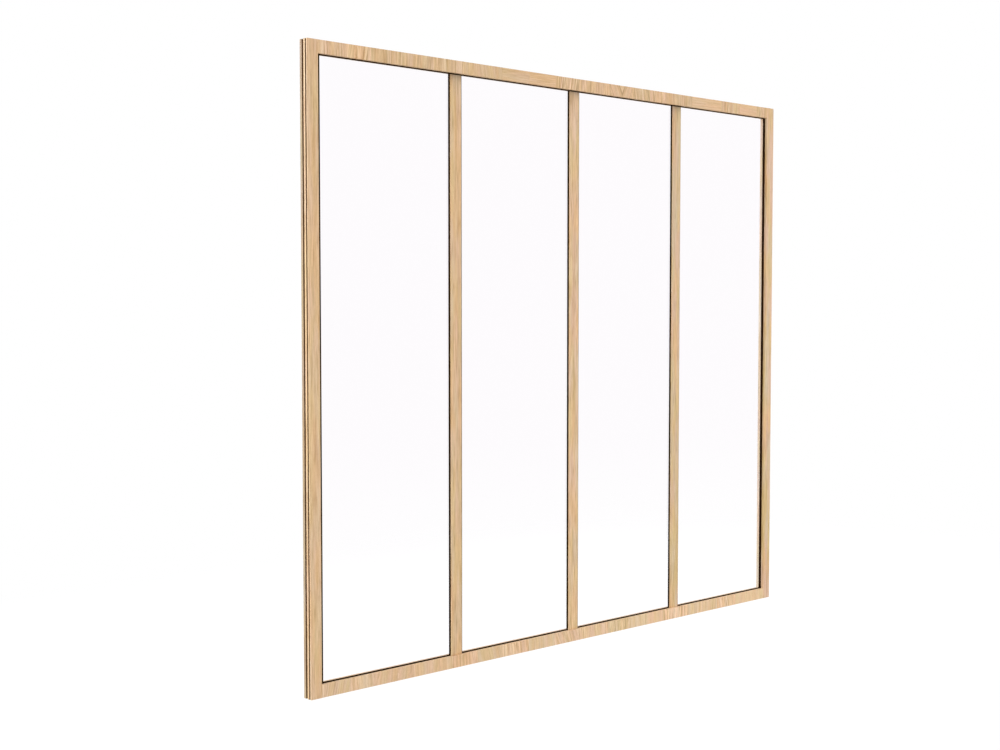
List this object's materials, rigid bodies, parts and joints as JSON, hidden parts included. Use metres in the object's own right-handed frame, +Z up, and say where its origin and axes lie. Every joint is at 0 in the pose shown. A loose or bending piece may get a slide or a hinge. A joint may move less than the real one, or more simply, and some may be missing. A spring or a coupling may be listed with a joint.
{
  "type": "glazed partition wall",
  "caption": "Full-height interior partition wall with a slim oak frame, tall clear glass panes and set-back oak mullions on black cores.",
  "frame": {"origin": "middle of the wall's base, at floor level, halfway through the frame's depth", "axes": "+X along the wall to the right seen from the front, +Y from the front face to the rear face, +Z up"},
  "size_m": [2.84, 0.049, 2.5],
  "materials": {
    "oak": "clear matt lacquer",
    "oak_rail": "clear matt lacquer, finger-jointed blocks",
    "glass": "clear toughened, polished edges",
    "black_metal": "matt black powder coat",
    "black_rubber": "matt",
    "block_plastic": "moulded",
    "beech": "bare, fluted",
    "steel": "zinc plated"
  },
  "bodies": {
    "root": {"left_post": "oak", "right_post": "oak", "top_rail": "oak_rail", "bottom_rail": "oak_rail", "mullion_1": "oak", "mullion_2": "oak", "mullion_3": "oak", "mullion_1_core": "black_metal", "mullion_2_core": "black_metal", "mullion_3_core": "black_metal", "mullion_1_rear_strip": "oak", "mullion_2_rear_strip": "oak", "mullion_3_rear_strip": "oak", "mullion_1_front_tapes": "black_rubber", "mullion_2_front_tapes": "black_rubber", "mullion_3_front_tapes": "black_rubber", "mullion_1_rear_tapes": "black_rubber", "mullion_2_rear_tapes": "black_rubber", "mullion_3_rear_tapes": "black_rubber", "glass_pane_1": "glass", "glass_pane_2": "glass", "glass_pane_3": "glass", "glass_pane_4": "glass", "left_bead": "oak", "right_bead": "oak", "top_bead": "oak", "bottom_bead": "oak", "left_front_seal": "black_rubber", "right_front_seal": "black_rubber", "top_front_seal_1": "black_rubber", "top_front_seal_2": "black_rubber", "top_front_seal_3": "black_rubber", "top_front_seal_4": "black_rubber", "bottom_front_seal_1": "black_rubber", "bottom_front_seal_2": "black_rubber", "bottom_front_seal_3": "black_rubber", "bottom_front_seal_4": "black_rubber", "left_rear_seal": "black_rubber", "right_rear_seal": "black_rubber", "top_rear_seal_1": "black_rubber", "top_rear_seal_2": "black_rubber", "top_rear_seal_3": "black_rubber", "top_rear_seal_4": "black_rubber", "bottom_rear_seal_1": "black_rubber", "bottom_rear_seal_2": "black_rubber", "bottom_rear_seal_3": "black_rubber", "bottom_rear_seal_4": "black_rubber", "setting_blocks": "block_plastic", "side_blocks": "block_plastic", "joint_spacers": "block_plastic", "corner_dowels": "beech", "corner_screws": "steel", "mullion_end_screws": "steel", "rear_strip_screws": "steel", "bead_pins": "steel"}
  },
  "joints": []
}
